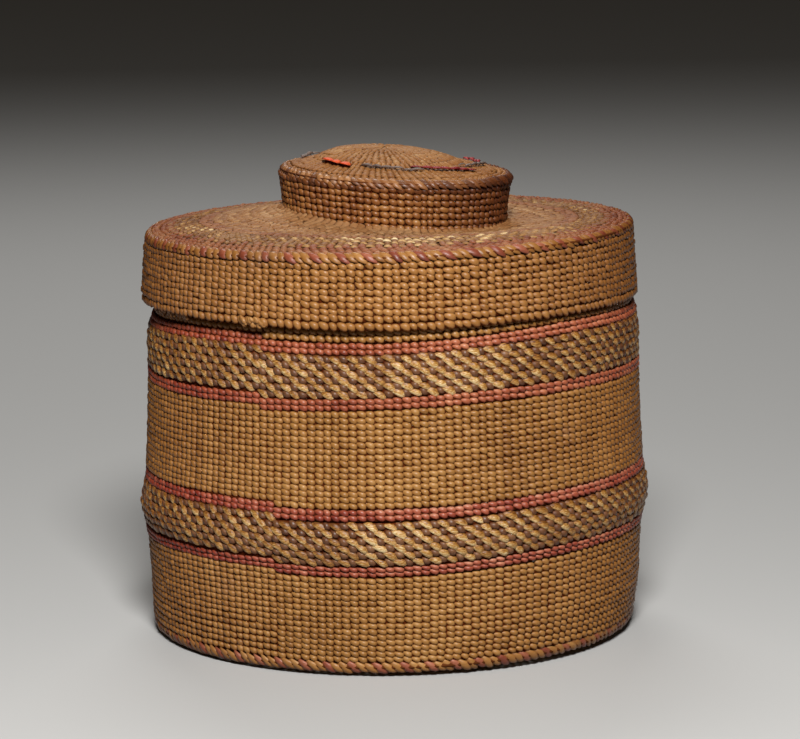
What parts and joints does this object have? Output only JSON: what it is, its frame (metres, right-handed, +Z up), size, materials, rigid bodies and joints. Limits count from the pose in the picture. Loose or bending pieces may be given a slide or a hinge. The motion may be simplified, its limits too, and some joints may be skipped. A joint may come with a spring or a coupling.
{
  "type": "lidded basket",
  "caption": "Round twined root basket with a slip-over lid whose hollow drum knob holds loose pebbles that rattle.",
  "frame": {"origin": "centre of the flat of the base, where the basket stands", "axes": "+Z up the basket's axis towards the knob; the picture looks along +Y, with +X to its right"},
  "size_m": [0.1558, 0.1558, 0.147],
  "materials": {
    "spruce_root": "twined spruce root, tan, satin",
    "aged_root": "twined spruce root, handled brown, satin",
    "grass_overlay": "straw-coloured grass over dark root, two-colour twining, slight sheen",
    "red_root": "dyed red root, satin",
    "rose_root": "faded rose root, satin",
    "inner_root": "undyed root, matt",
    "pebble_stone": "water-worn pebble, matt",
    "stroke_orange": "dyed orange strand",
    "stroke_slate": "faded slate-blue strand",
    "stroke_crimson": "dyed crimson strand"
  },
  "bodies": {
    "basket": {"base_disc": "spruce_root", "base_edge_ridge": "spruce_root", "wall_lower": "spruce_root", "stripe_lower_1": "red_root", "band_lower": "grass_overlay", "stripe_lower_2": "red_root", "wall_middle": "spruce_root", "stripe_upper_1": "red_root", "band_upper": "grass_overlay", "stripe_upper_2": "red_root", "wall_neck": "spruce_root", "rim_edge": "spruce_root"},
    "lid": {"lid_edge": "spruce_root", "lid_side": "spruce_root", "lid_shoulder_ridge": "spruce_root", "lid_top_stripe_outer": "rose_root", "lid_top_band": "grass_overlay", "lid_top_stripe_inner": "rose_root", "lid_top_plain": "spruce_root", "knob_side": "aged_root", "knob_ridge": "aged_root", "knob_ring": "spruce_root", "knob_dome": "spruce_root", "rattle_floor": "inner_root", "knob_stroke_1": "stroke_orange", "knob_stroke_2": "stroke_slate", "knob_stroke_3": "stroke_crimson", "knob_stroke_4": "stroke_slate", "knob_stroke_5": "stroke_crimson", "knob_stroke_6": "stroke_slate"},
    "pebble_1": {"pebble_1": "pebble_stone"},
    "pebble_2": {"pebble_2": "pebble_stone"},
    "pebble_3": {"pebble_3": "pebble_stone"},
    "pebble_4": {"pebble_4": "pebble_stone"},
    "pebble_5": {"pebble_5": "pebble_stone"}
  },
  "joints": [
    {"name": "lid_lift", "type": "slide", "parent": "basket", "child": "lid", "axis": [0, 0, 1], "range_m": [0, 0.06]},
    {"name": "pebble_1_hop", "type": "slide", "parent": "lid", "child": "pebble_1", "axis": [0, 0, 1], "range_m": [0, 0.015]},
    {"name": "pebble_2_hop", "type": "slide", "parent": "lid", "child": "pebble_2", "axis": [0, 0, 1], "range_m": [0, 0.0105]},
    {"name": "pebble_3_hop", "type": "slide", "parent": "lid", "child": "pebble_3", "axis": [0, 0, 1], "range_m": [0, 0.0098]},
    {"name": "pebble_4_hop", "type": "slide", "parent": "lid", "child": "pebble_4", "axis": [0, 0, 1], "range_m": [0, 0.0106]},
    {"name": "pebble_5_hop", "type": "slide", "parent": "lid", "child": "pebble_5", "axis": [0, 0, 1], "range_m": [0, 0.0102]}
  ]
}
